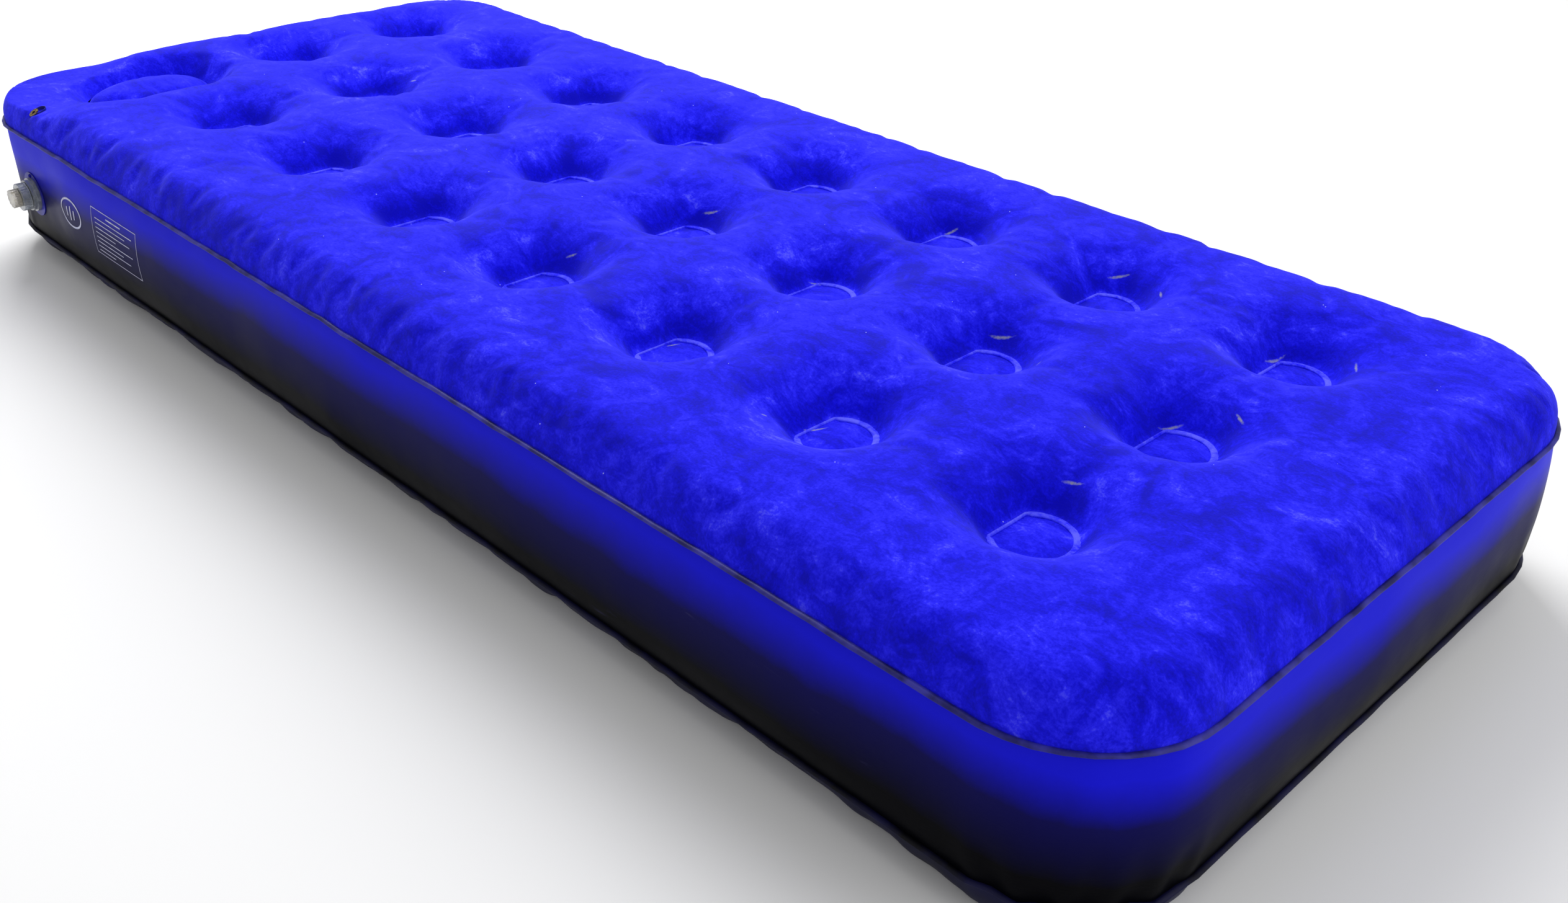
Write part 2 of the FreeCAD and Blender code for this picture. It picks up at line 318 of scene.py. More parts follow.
def calenderedPvc(name):
    # Calendered PVC film, satin, dyed navy, with painted shade: blue towards the top weld, darkening to near black
    # towards the ground.
    material, tree, surface = newMaterial(name)
    coords = addNode(tree, "ShaderNodeTexCoord")
    parts = addNode(tree, "ShaderNodeSeparateXYZ", {}, {0: coords.outputs["Object"]})
    smudge = addNode(tree, "ShaderNodeTexNoise",
                     {"Scale": 1000 / sidePvc["smudgeMm"], "Detail": 6.0, "Roughness": 0.6},
                     {"Vector": coords.outputs["Object"]})
    # Painted shade by height, and painted light at the foot and head ends.
    level = addNode(tree, "ShaderNodeMapRange", {1: bag["seamLow"], 2: bag["seamTop"]},
                    {0: parts.outputs[2]})
    footEnd = addNode(tree, "ShaderNodeMapRange", {1: 0.80, 2: 0.93, 4: sidePvc["footShift"]},
                      {0: parts.outputs[0]})
    headEnd = addNode(tree, "ShaderNodeMapRange", {1: -0.40, 2: -0.90, 4: sidePvc["headShift"]},
                      {0: parts.outputs[0]})
    ends = addNode(tree, "ShaderNodeMath", {"operation": "ADD"}, {0: headEnd.outputs[0], 1: footEnd.outputs[0]})
    raised = addNode(tree, "ShaderNodeMath", {"operation": "ADD"}, {0: level.outputs[0], 1: ends.outputs[0]})
    shifted = addNode(tree, "ShaderNodeMath", {"operation": "MULTIPLY_ADD", 1: 0.20},
                      {0: smudge.outputs[0], 2: raised.outputs[0]})
    colour = addNode(tree, "ShaderNodeValToRGB",
                     {"stops": [(0.33, sidePvc["foot"]), (0.72, sidePvc["middle"]), (1.00, sidePvc["top"])]},
                     {0: shifted.outputs[0]})
    drawn = addNode(tree, "ShaderNodeMapping", {"Scale": (0.12, 0.12, 1.0), "Rotation": (0.3, 0.4, 0.0)},
                    {"Vector": coords.outputs["Object"]})
    lines = addNode(tree, "ShaderNodeTexNoise",
                    {"Scale": 1000 / sidePvc["scratchMm"], "Detail": 5.0, "Roughness": 0.75, "Distortion": 0.8},
                    {"Vector": drawn.outputs[0]})
    thin = addNode(tree, "ShaderNodeMapRange", {1: 0.66, 2: 0.74, 4: 0.35}, {0: lines.outputs[0]})
    marked = addNode(tree, "ShaderNodeMix", {"data_type": "RGBA", 7: hexToLinear("#3c3a66")},
                     {0: thin.outputs[0], 6: colour.outputs[0]})
    gloss = addNode(tree, "ShaderNodeMapRange", {1: 0.3, 2: 0.7, 3: 0.34, 4: 0.52}, {0: smudge.outputs[0]})
    bump = addNode(tree, "ShaderNodeBump", {"Strength": 0.25, "Distance": 0.0008}, {"Height": lines.outputs[0]})
    tree.links.new(marked.outputs[2], surface.inputs["Base Color"])
    tree.links.new(gloss.outputs[0], surface.inputs["Roughness"])
    tree.links.new(bump.outputs[0], surface.inputs["Normal"])
    surface.inputs["Specular IOR Level"].default_value = 0.03
    return material


def plainPvc(name, code, darker, roughness=0.45, specular=0.4, patchMm=60.0):
    # Plain PVC film: one dye, a little uneven where it was handled.
    material, tree, surface = newMaterial(name)
    coords = addNode(tree, "ShaderNodeTexCoord")
    patch = addNode(tree, "ShaderNodeTexNoise", {"Scale": 1000 / patchMm, "Detail": 5.0},
                    {"Vector": coords.outputs["Object"]})
    colour = addNode(tree, "ShaderNodeValToRGB", {"stops": [(0.36, darker), (0.64, code)]},
                     {0: patch.outputs[0]})
    bump = addNode(tree, "ShaderNodeBump", {"Strength": 0.2, "Distance": 0.0005}, {"Height": patch.outputs[0]})
    tree.links.new(colour.outputs[0], surface.inputs["Base Color"])
    tree.links.new(bump.outputs[0], surface.inputs["Normal"])
    surface.inputs["Roughness"].default_value = roughness
    surface.inputs["Specular IOR Level"].default_value = specular
    return material


def clearPvc(name, tint, darker):
    # Moulded flexible PVC, clear: light passes through and bends, with a slightly cloudy skin.
    material, tree, surface = newMaterial(name)
    coords = addNode(tree, "ShaderNodeTexCoord")
    cloud = addNode(tree, "ShaderNodeTexNoise", {"Scale": 160.0, "Detail": 3.0},
                    {"Vector": coords.outputs["Object"]})
    colour = addNode(tree, "ShaderNodeValToRGB", {"stops": [(0.35, darker), (0.65, tint)]},
                     {0: cloud.outputs[0]})
    gloss = addNode(tree, "ShaderNodeMapRange", {1: 0.3, 2: 0.7, 3: 0.08, 4: 0.22}, {0: cloud.outputs[0]})
    tree.links.new(colour.outputs[0], surface.inputs["Base Color"])
    tree.links.new(gloss.outputs[0], surface.inputs["Roughness"])
    surface.inputs["IOR"].default_value = 1.53
    surface.inputs["Transmission Weight"].default_value = 0.72
    return material


def agedBrass(name):
    # Rolled brass eyelet, dulled: warm metal with darker tarnish in its rim.
    material, tree, surface = newMaterial(name)
    coords = addNode(tree, "ShaderNodeTexCoord")
    tarnish = addNode(tree, "ShaderNodeTexNoise", {"Scale": 420.0, "Detail": 4.0},
                      {"Vector": coords.outputs["Object"]})
    colour = addNode(tree, "ShaderNodeValToRGB", {"stops": [(0.38, "#4b3a22"), (0.62, "#b0935a")]},
                     {0: tarnish.outputs[0]})
    gloss = addNode(tree, "ShaderNodeMapRange", {1: 0.3, 2: 0.7, 3: 0.45, 4: 0.25}, {0: tarnish.outputs[0]})
    tree.links.new(colour.outputs[0], surface.inputs["Base Color"])
    tree.links.new(gloss.outputs[0], surface.inputs["Roughness"])
    surface.inputs["Metallic"].default_value = 1.0
    return material


panelFlock = flockedFilm("FlockedFilmBlue")
# The weld rings get the same flock shifted paler, a painted sheen.
ringFlock = flockedFilm("FlockedFilmPressedSheen", lift=0.19, scuffs=False)
bandPvc = calenderedPvc("CalenderedPvcNavy")
underPvc = plainPvc("PvcFilmUnderside", "#0b0b3c", "#060624", 0.5, 0.12)
lipPvc = plainPvc("WeldedPvcLip", "#3a389e", "#1a185c", 0.38, 0.2, 22.0)
# The lower lip is the same welded film as the top lip, made darker here as painted shade near the ground.
shadedHemPvc = plainPvc("WeldedPvcHemShaded", "#14143c", "#07070f", 0.5, 0.15, 30.0)
innerPvc = plainPvc("PvcFilmInner", "#20209a", "#15156c")
foam = plainPvc("PolyurethaneFoam", "#d8cf9a", "#b9ad74", 0.95, 0.1, 4.0)
rubber = plainPvc("FlapRubber", "#2a2a2e", "#18181b", 0.6, 0.3, 12.0)
flangePvc = plainPvc("PvcFlangeBlue", "#1716a4", "#0f0f72", 0.4, 0.14, 25.0)
neckPvc = clearPvc("ClearPvcMoulded", "#eef2f6", "#c3ccd4")
capPvc = clearPvc("ClearPvcCap", "#f2efe6", "#cbc4b0")
brass = agedBrass("AgedBrassEyelet")
ink = plainPvc("ScreenPrintInkWhite", "#c9cbe6", "#a3a6cc", 0.55, 0.3, 9.0)

slotMaterials = {
    "flocked_film": panelFlock, "side_film": bandPvc, "underside_film": underPvc, "weld_lip": lipPvc,
    "coil_film": innerPvc, "inner_film": innerPvc, "pump_foam": foam, "eyelet_metal": brass,
    "inner_moulding": neckPvc, "flap_rubber": rubber, "washer_rubber": rubber, "valve_flange": flangePvc,
    "clear_pvc": neckPvc, "clear_cap": capPvc,
}


def dressCadNodes():
    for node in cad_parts.values():
        slots = node.data.materials
        slots[0] = slotMaterials[slots[0].name]


dressCadNodes()
print("materials made")


# The plan of the bag, and the route of its two welds.

def planDepth(x, y, grow=0.0):
    # How far inside the rounded plan a point lies, and which way is inwards there.
    radius = bag["cornerRadius"] + grow
    overX = np.abs(x) - (bag["halfLong"] + grow - radius)
    overY = np.abs(y) - (bag["halfWide"] + grow - radius)
    reach = np.hypot(np.maximum(overX, 0), np.maximum(overY, 0))
    depth = radius - reach - np.minimum(np.maximum(overX, overY), 0)
    inCorner = (overX > 0) & (overY > 0)
    safe = np.maximum(reach, 1e-9)
    inX = -np.sign(x) * np.where(inCorner, overX / safe, overX >= overY)
    inY = -np.sign(y) * np.where(inCorner, overY / safe, overX < overY)
    return depth, inX, inY


def cornerAngle(x, y):
    # Degrees round a corner, from the long side, and minus one along the straight sides.
    overX = np.abs(x) - (bag["halfLong"] - bag["cornerRadius"])
    overY = np.abs(y) - (bag["halfWide"] - bag["cornerRadius"])
    angle = np.degrees(np.arctan2(np.maximum(overX, 0), np.maximum(overY, 1e-9)))
    return np.where((overX > 0) & (overY > 0), angle, -1.0)


def routeAt(share, grow=0.0):
    # Points round the seam, with the way outwards; share runs from 0 to 1 round the bag.
    radius = bag["cornerRadius"]
    flatX = bag["halfLong"] - radius
    flatY = bag["halfWide"] - radius
    arc = radius * math.pi / 2
    runs = [2 * flatX, arc, 2 * flatY, arc, 2 * flatX, arc, 2 * flatY, arc]
    ends = np.concatenate([[0], np.cumsum(runs)])
    along = (np.asarray(share) % 1.0) * ends[-1]
    leg = np.clip(np.searchsorted(ends, along, side="right") - 1, 0, 7)
    rest = along - ends[leg]
    quarter = leg // 2                              # 0 valve side, 1 foot, 2 far side, 3 head
    heading = quarter * math.pi / 2
    centreX = np.choose(quarter, [flatX, flatX, -flatX, -flatX])
    centreY = np.choose(quarter, [-flatY, flatY, flatY, -flatY])
    turn = heading - math.pi / 2 + np.where(leg % 2 == 1, rest / radius, 0)
    outX, outY = np.cos(turn), np.sin(turn)
    back = np.where(leg % 2 == 0, np.where(quarter % 2 == 0, 2 * flatX, 2 * flatY) - rest, 0)
    x = centreX + outX * (radius + grow) - np.cos(heading) * back
    y = centreY + outY * (radius + grow) - np.sin(heading) * back
    return x, y, outX, outY


seamWave = {
    "swell": 0.0011,                  # slow rise and fall of the welded line
    "swellSize": 0.16,
    "kink": 0.0008,
    "kinkSize": 0.028,
    "ruffle": 0.0075,                 # scallops of the lower weld round the corners
    "ruffleDegrees": 16.5,
}


def seamLift(x, y):
    points = np.stack([x, y, np.zeros(len(x))], 1)
    slow = smoothNoise(points, seamWave["swellSize"], 3)
    quick = smoothNoise(points, seamWave["kinkSize"], 5)
    return seamWave["swell"] * slow + seamWave["kink"] * quick * np.abs(quick) * 3


def hemLift(x, y):
    angle = cornerAngle(x, y)
    edge = fade(angle, -2, 12) * fade(-angle, -92, -78)
    cusp = 1 - np.abs(np.sin(np.pi * (angle - 4) / seamWave["ruffleDegrees"]))
    scallop = np.where(angle >= 0, edge * (0.003 - seamWave["ruffle"] * cusp), 0)
    return scallop + 0.6 * seamLift(x + 1.0, y)


# The top and bottom panels: film grids laid over the inflated form, then blown out between the welds.

panelForm = {
    "cell": 0.008,
    "pitSpan": 0.058,                 # weld's edge to the crest beside it
    "contactDegrees": 75.0,           # slope of the film where it leaves a weld
    "domeRise": 0.002,                # domes between four welds stand this much higher
    "puff": 0.004,
    "mostHigh": 0.2275,
    "ledge": 0.195,
    "eyeletSeat": 0.004,
    "cornerHigh": 0.0062,             # the film at the pump's corner stops this far below the crown
    "holeGap": 0.0012,
    "ledgeWide": 0.003,
    "recessSpan": 0.032,
    "sinkWide": 0.016,
    "sinkPast": 0.014,
}
panelCloth = {
    "frames": 14,
    "pressure": 16.0,
    "tension": 28.0,
    "bending": 0.8,
    "shrink": -0.015,
    "mass": 0.3,
    "cap": 0.010,                     # no point moves further than this
}


def weldGap(x, y):
    # Distance outside the edge of the nearest coil weld.
    gaps = [np.maximum(np.hypot(x - cx, y - cy) - weldRadius, cx - x - weldChord) for cx, cy in coilCentres]
    return np.min(gaps, axis=0)


def weldDome(gap):
    # The film inside a weld is puffed up a little by the air in the coil.
    return panelForm["puff"] * fade(-gap, 0.0, 0.030)


def arcShare(share, degrees):
    # A circular rise from 0 to 1 that starts at the given slope and ends level.
    slope = math.radians(degrees)
    turn = np.arcsin(np.sin(slope) * (1 - np.clip(share, 0, 1)))
    return (np.cos(turn) - math.cos(slope)) / (1 - math.cos(slope))


def pumpGap(x, y):
    # Distance outside the round-ended outline of the pump's pad.
    halfWide = (padHigh.x - padLow.x) / 2
    straight = (padHigh.y - padLow.y) / 2 - halfWide
    beyond = np.maximum(np.abs(y - pumpCentre.y) - straight, 0)
    return np.hypot(x - pumpCentre.x, beyond) - halfWide


def sinkGap(x, y):
    # Distance outside the oval dip that the pad sits in, which reaches further towards the foot.
    halfWide = (padHigh.x - padLow.x) / 2 + panelForm["sinkWide"]
    straight = (padHigh.y - padLow.y - padHigh.x + padLow.x) / 2
    beyond = np.maximum(np.abs(y - pumpCentre.y) - straight, 0)
    return np.hypot(x - pumpCentre.x - panelForm["sinkPast"], beyond) - halfWide


def panelGrid(cell):
    # A flat film grid on a rounded plan that is larger than the bag by what the rolled edge takes up.
    roll = bag["crown"] - bag["seamTop"]
    grow = roll * (math.pi / 2 - 1)
    halfLong = bag["halfLong"] + grow
    halfWide = bag["halfWide"] + grow
    radius = bag["cornerRadius"] + grow
    deselectAll()
    bpy.ops.mesh.primitive_grid_add(x_subdivisions=round(2 * halfLong / cell),
                                    y_subdivisions=round(2 * halfWide / cell), size=2)
    piece = bpy.context.object
    points = readPoints(piece)
    x, y = points[:, 0] * halfLong, points[:, 1] * halfWide
    overX = np.maximum(np.abs(x) - (halfLong - radius), 0)
    overY = np.maximum(np.abs(y) - (halfWide - radius), 0)
    keep = np.maximum(overX, overY) / np.maximum(np.hypot(overX, overY), 1e-9)
    inCorner = (overX > 0) & (overY > 0)
    x = np.where(inCorner, np.sign(x) * (halfLong - radius + overX * keep), x)
    y = np.where(inCorner, np.sign(y) * (halfWide - radius + overY * keep), y)
    depth, inX, inY = planDepth(x, y, grow)
    turn = np.clip(depth / roll, 0, math.pi / 2)
    shift = np.where(depth < roll * math.pi / 2, grow - depth + roll * (1 - np.cos(turn)), 0)
    points[:, 0] = x + inX * shift
    points[:, 1] = y + inY * shift
    points[:, 2] = roll * np.sin(turn)
    return piece, points, depth


def quilt(points, flatDepth):
    # Pulls the film down to each coil weld; heights are above the level of the welds.
    gap = weldGap(points[:, 0], points[:, 1])
    share = np.where(gap > 0, arcShare(gap / panelForm["pitSpan"], panelForm["contactDegrees"]), 0)
    dome = panelForm["domeRise"] * fade(gap, 0.03, 0.09) * fade(flatDepth, 0.0, 0.08)
    points[:, 2] = (points[:, 2] + dome) * share + weldDome(gap)
    return gap


def blowOut(piece, held, cloth):
    # The film is held at its welds and blown out by the air, and the result is kept.
    before = readPoints(piece)
    makeActive(piece)
    group = piece.vertex_groups.new(name="held")
    group.add([int(i) for i in np.nonzero(held)[0]], 1.0, "REPLACE")
    modifier = piece.modifiers.new("Air", "CLOTH")
    film = modifier.settings
    film.quality = 6
    film.mass = cloth["mass"]
    film.air_damping = 1.0
    film.tension_stiffness = cloth["tension"]
    film.compression_stiffness = cloth["tension"]
    film.shear_stiffness = cloth["tension"] / 2
    film.bending_stiffness = cloth["bending"]
    film.tension_damping = 20
    film.compression_damping = 20
    film.shear_damping = 20
    film.bending_damping = 1
    film.vertex_group_mass = "held"
    film.shrink_min = cloth["shrink"]
    film.use_pressure = True
    film.uniform_pressure_force = cloth["pressure"]
    film.effector_weights.gravity = 0
    modifier.collision_settings.use_collision = False
    modifier.point_cache.frame_end = cloth["frames"] + 2
    for step in range(1, cloth["frames"] + 1):
        bpy.context.scene.frame_set(step)
    bpy.ops.object.modifier_apply(modifier=modifier.name)
    bpy.context.scene.frame_set(1)
    piece.vertex_groups.clear()
    after = readPoints(piece)
    moved = after - before
    far = np.linalg.norm(moved, axis=1)
    moved *= np.minimum(1, cloth["cap"] / np.maximum(far, 1e-9))[:, None]
    writePoints(piece, before + moved)


def creaseFilm(piece, seed, strength=1.0):
    # Fine gathers: rays round each coil weld, and short puckers where the film turns down to the seam.
    points = readPoints(piece)
    x, y = points[:, 0], points[:, 1]
    gaps = np.array([np.hypot(x - cx, y - cy) for cx, cy in coilCentres])
    nearest = np.argmin(gaps, axis=0)
    gap = gaps.min(axis=0) - weldRadius
    angle = np.arctan2(y - coilCentres[nearest, 1], x - coilCentres[nearest, 0])
    rays = np.stack([np.cos(angle) * 2.6, np.sin(angle) * 2.6, nearest * 3.7 + gap * 6], 1)
    ray = smoothNoise(rays, 1.0, seed)
    reach = fade(gap, 0.000, 0.012) * fade(-gap, -0.085, -0.015)
    depth, inX, inY = planDepth(x, y)
    along = np.stack([x * (1 - np.abs(inX)), y * (1 - np.abs(inY)), depth * 0.25], 1)
    pucker = smoothNoise(along, 0.020, seed + 1) * fade(depth, 0.002, 0.012) * fade(-depth, -0.07, -0.02)
    swell = smoothNoise(points, 0.075, seed + 2) * fade(gap, 0.004, 0.03) * fade(depth, 0.0, 0.03)
    push = strength * (0.0016 * ray * reach + 0.0011 * pucker + 0.0010 * swell)
    normals = np.zeros(len(points) * 3)
    piece.data.vertices.foreach_get("normal", normals)
    writePoints(piece, points + normals.reshape(-1, 3) * push[:, None])


def paintCrestHighlightAndPitShade(piece):
    # Painted highlight on the folds round each weld and painted shade in the pit beside it; also paler in a band
    # about 50 mm in from the edge and inside each weld.
    points = readPoints(piece)
    x, y = points[:, 0], points[:, 1]
    gaps = np.array([np.maximum(np.hypot(x - cx, y - cy) - weldRadius, cx - x - weldChord)
                     for cx, cy in coilCentres])
    nearest = np.argmin(gaps, axis=0)
    gap = gaps.min(axis=0)
    angle = np.arctan2(y - coilCentres[nearest, 1], x - coilCentres[nearest, 0])
    rays = np.stack([np.cos(angle) * 4.2, np.sin(angle) * 4.2, nearest * 5.3 + gap * 5], 1)
    streak = 0.55 + 0.75 * smoothNoise(rays, 1.0, 51)
    # Painted highlight along the fold round each weld.
    crest = np.exp(-((gap - 0.027) / 0.013) ** 2) * streak
    # Painted shade in the pit just outside each weld.
    deep = np.exp(-(np.maximum(gap, 0) / 0.015) ** 2) * (gap > 0)
    depth, inX, inY = planDepth(x, y)
    edge = np.exp(-((depth - 0.050) / 0.022) ** 2) * (0.5 + 0.8 * smoothNoise(points, 0.05, 53))
    # Sum of the painted highlight and painted shade, with the paler edge band and weld insides.
    wearAndPaintedLight = 0.075 * crest - 0.065 * deep + 0.035 * edge + 0.02 * (gap <= 0)
    layer = piece.data.attributes.new("nap", "FLOAT", "POINT")
    layer.data.foreach_set("value", wearAndPaintedLight.astype(np.float32))


def makeTopPanel():
    piece, points, flatDepth = panelGrid(panelForm["cell"])
    gap = quilt(points, flatDepth)
    base = weldLevel - bag["seamTop"]
    points[:, 2] += bag["seamTop"] + np.where(gap <= 0, base, base * fade(flatDepth, 0, 0.02))
    x, y = points[:, 0], points[:, 1]
    ring = pumpGap(x, y)
    sink = sinkGap(x, y)
    rise = np.where(sink > 0, arcShare(sink / panelForm["recessSpan"], 60.0), 0)
    inRecess = sink < panelForm["recessSpan"]
    points[:, 2] = np.where(inRecess, panelForm["ledge"] + (points[:, 2] - panelForm["ledge"]) * rise, points[:, 2])
    points[:, 2] += seamLift(x, y) * fade(-flatDepth, -0.04, 0)
    writePoints(piece, points)

    # The opening for the pump's pad, with its edge drawn to the pad's outline.
    inside = ring < panelForm["holeGap"]
    selectPoints(piece, inside)
    bpy.ops.mesh.delete(type="VERT")
    bpy.ops.object.mode_set(mode="OBJECT")
    points = readPoints(piece)
    kept = ~inside
    flatDepth = flatDepth[kept]
    ring = pumpGap(points[:, 0], points[:, 1])
    gap = weldGap(points[:, 0], points[:, 1])
    onHole = edgePoints(piece) & (ring < panelForm["holeGap"] + 2 * panelForm["cell"])
    pull = (ring - panelForm["holeGap"])[:, None]
    straight = (padHigh.y - padLow.y - padHigh.x + padLow.x) / 2
    coreY = pumpCentre.y + np.clip(points[:, 1] - pumpCentre.y, -straight, straight)
    ray = np.stack([points[:, 0] - pumpCentre.x, points[:, 1] - coreY], 1)
    ray /= np.maximum(np.linalg.norm(ray, axis=1), 1e-9)[:, None]
    points[:, :2] -= np.where(onHole[:, None], ray * pull, 0)
    points[:, 2] = np.where(onHole, panelForm["ledge"] - 0.005, points[:, 2])
    writePoints(piece, points)

    eyelet = np.linalg.norm(points - np.array(eyeletCentre), axis=1) < 0.012
    held = (flatDepth < 1e-5) | (gap < panelForm["cell"] * 0.3) | onHole | eyelet
    held |= ring < panelForm["ledgeWide"]
    blowOut(piece, held, panelCloth)
    smoothPiece(piece, 1)
    creaseFilm(piece, 11)
    points = readPoints(piece)
    corner = fade(-points[:, 0], -pumpCentre.x - 0.13, -pumpCentre.x - 0.01)
    corner *= fade(-points[:, 1], -pumpCentre.y - 0.05, -pumpCentre.y + 0.05)
    over = points[:, 2] - (bag["crown"] - panelForm["cornerHigh"])
    points[:, 2] -= np.maximum(over, 0) * corner
    fromEyelet = np.linalg.norm(points[:, :2] - np.array(eyeletCentre)[:2], axis=1)
    points[:, 2] -= panelForm["eyeletSeat"] * np.exp(-(fromEyelet / 0.009) ** 2)
    tall = points[:, 2] - panelForm["mostHigh"] + 0.008
    points[:, 2] -= np.where(tall > 0, tall - 0.008 * (1 - np.exp(-tall / 0.008)), 0)
    writePoints(piece, points)
    paintCrestHighlightAndPitShade(piece)
    settle(piece, "flockedTopPanel", "mattress", panelFlock)
    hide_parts("top_panel")
    return piece


topPanel = makeTopPanel()
print("top panel made:", len(topPanel.data.vertices), "points")

underForm = {
    "cell": 0.012,
    "floor": 0.0,
}


def makeBottomPanel():
    piece, points, flatDepth = panelGrid(underForm["cell"])
    gap = quilt(points, flatDepth)
    base = weldLevel - bag["seamTop"]
    points[:, 2] += np.where(gap <= 0, base, base * fade(flatDepth, 0, 0.02))
    points[:, 2] = bag["seamLow"] - points[:, 2]
    points[:, 2] += hemLift(points[:, 0], points[:, 1]) * fade(-flatDepth, -0.035, 0)
    writePoints(piece, points)
    makeActive(piece)
    bpy.ops.object.mode_set(mode="EDIT")
    bpy.ops.mesh.select_all(action="SELECT")
    bpy.ops.mesh.flip_normals()
    bpy.ops.object.mode_set(mode="OBJECT")
    held = (flatDepth < 1e-5) | (gap < underForm["cell"] * 0.3)
    blowOut(piece, held, panelCloth)
    smoothPiece(piece, 1)
    creaseFilm(piece, 31, 0.8)
    points = readPoints(piece)
    points[:, 2] = np.maximum(points[:, 2], underForm["floor"])
    writePoints(piece, points)
    settle(piece, "undersidePanel", "mattress", underPvc)
    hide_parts("bottom_panel")
    return piece


bottomPanel = makeBottomPanel()
print("bottom panel made:", len(bottomPanel.data.vertices), "points")

# The side band: one strip of film round the bag, bulging between its two welds.

bandForm = {
    "cell": 0.008,
    "bulge": 0.0135,                  # on the long sides
    "cornerBulge": 0.006,
    "valveFlat": 0.032,               # held flat round the valve's flange
    "valveFade": 0.14,
    "pucker": 0.0016,
}
bandCloth = dict(panelCloth, pressure=6.0, tension=24.0, shrink=0.002, cap=0.004, frames=10)


def bandBulge(x, y, share):
    # Outward bulge at a height share from 0, the lower weld, to 1, the upper one.
    overX = np.abs(x) - (bag["halfLong"] - bag["cornerRadius"])
    overY = np.abs(y) - (bag["halfWide"] - bag["cornerRadius"])
    straight = np.maximum(fade(-overX, -0.02, 0.20), fade(-overY, -0.02, 0.20) * 0.7)
    most = bandForm["cornerBulge"] + (bandForm["bulge"] - bandForm["cornerBulge"]) * straight
    return most * np.sin(np.pi * share ** 0.85)


def makeBand():
    deselectAll()
    around = round(2 * math.pi * bag["cornerRadius"] / bandForm["cell"]) * 7
    high = bag["seamTop"] - bag["seamLow"]
    tall = round(high / bandForm["cell"])
    bpy.ops.mesh.primitive_grid_add(x_subdivisions=around, y_subdivisions=tall, size=2)
    piece = bpy.context.object
    points = readPoints(piece)
    share = (points[:, 0] + 1) / 2
    level = (points[:, 1] + 1) / 2
    x, y, outX, outY = routeAt(share)
    bulge = bandBulge(x, y, level)
    z = bag["seamLow"] + level * high
    z += seamLift(x, y) * fade(level, 0.4, 1.0) + hemLift(x, y) * fade(-level, -0.55, 0)
    toValve = np.hypot(x - valveCentre.x, z - valveCentre.z) + (y > 0) * 1.0
    bulge *= fade(toValve, bandForm["valveFlat"], bandForm["valveFade"])
    angle = cornerAngle(x, y)
    gather = np.where(angle >= 0, np.sin(np.radians(angle) * 11) * fade(angle, 5, 25) * fade(-angle, -85, -65), 0)
    gather = gather * fade(level, 0.45, 0.85) * fade(-level, -1.0, -0.93)
    bulge += bandForm["pucker"] * gather
    hemGather = np.where(angle >= 0, np.cos(2 * np.pi * (angle - 4) / seamWave["ruffleDegrees"]), 0)
    bulge += 0.0018 * hemGather * fade(-level, -0.35, -0.03) * fade(level, 0, 0.04)
    writePoints(piece, np.stack([x + outX * bulge, y + outY * bulge, z], 1))
    makeActive(piece)
    bpy.ops.object.mode_set(mode="EDIT")
    bpy.ops.mesh.select_all(action="SELECT")
    bpy.ops.mesh.remove_doubles(threshold=1e-5)
    bpy.ops.mesh.normals_make_consistent(inside=False)
    bpy.ops.object.mode_set(mode="OBJECT")
    points = readPoints(piece)
    toValve = np.hypot(points[:, 0] - valveCentre.x, points[:, 2] - valveCentre.z) + (points[:, 1] > 0)
    blowOut(piece, edgePoints(piece) | (toValve < bandForm["valveFlat"]), bandCloth)
    smoothPiece(piece, 1)
    settle(piece, "sideBand", "mattress", bandPvc)
    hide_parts("side_band")
    return piece


sideBand = makeBand()
print("band made:", len(sideBand.data.vertices), "points")

# The two weld lips that stand out round the bag.

lip = {
    "out": 0.0020,                    # middle of the lip outside the seam
    "halfWide": 0.0029,
    "halfThick": 0.0017,
    "turns": 1260,
    "sides": 12,
}


def makeLip(name, node, level, liftAt, ruffled, material):
    deselectAll()
    bpy.ops.mesh.primitive_torus_add(major_segments=lip["turns"], minor_segments=lip["sides"],
                                     major_radius=1.0, minor_radius=0.1)
    piece = bpy.context.object
    points = readPoints(piece)
    share = (np.arctan2(points[:, 1], points[:, 0]) / (2 * math.pi)) % 1.0
    out = (np.hypot(points[:, 0], points[:, 1]) - 1.0) / 0.1
    rise = points[:, 2] / 0.1
    x, y, outX, outY = routeAt(share)
    line = np.stack([x, y, np.full(len(x), level)], 1)
    width = 1 + 0.22 * smoothNoise(line, 0.05, 8 + ruffled)
    droop = 0.0011 * smoothNoise(line, 0.035, 9 + ruffled) - 0.0004
    reach = lip["out"] + out * lip["halfWide"] * width
    z = level + liftAt(x, y) + rise * lip["halfThick"] * (1 - 0.35 * (out > 0) * out)
    z += droop * np.clip(reach / 0.006, 0, 1)
    writePoints(piece, np.stack([x + outX * reach, y + outY * reach, z], 1))
    smoothPiece(piece, 0)
    settle(piece, name, "mattress", material)
    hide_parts(node)
    return piece


makeLip("topWeldLip", "top_seam_weld", bag["seamTop"], seamLift, 0, lipPvc)
makeLip("lowerWeldLip", "bottom_seam_weld", bag["seamLow"], hemLift, 1, shadedHemPvc)
print("weld lips made")

# The pressed ring of each coil weld.

weldRing = {
    "middle": 0.0358,
    "halfWide": 0.0042,
    "halfHigh": 0.0017,
    "lift": 0.0010,
    "straightWide": 0.0016,           # half the band's width along the straight side
    "turns": 96,
    "sides": 10,
}


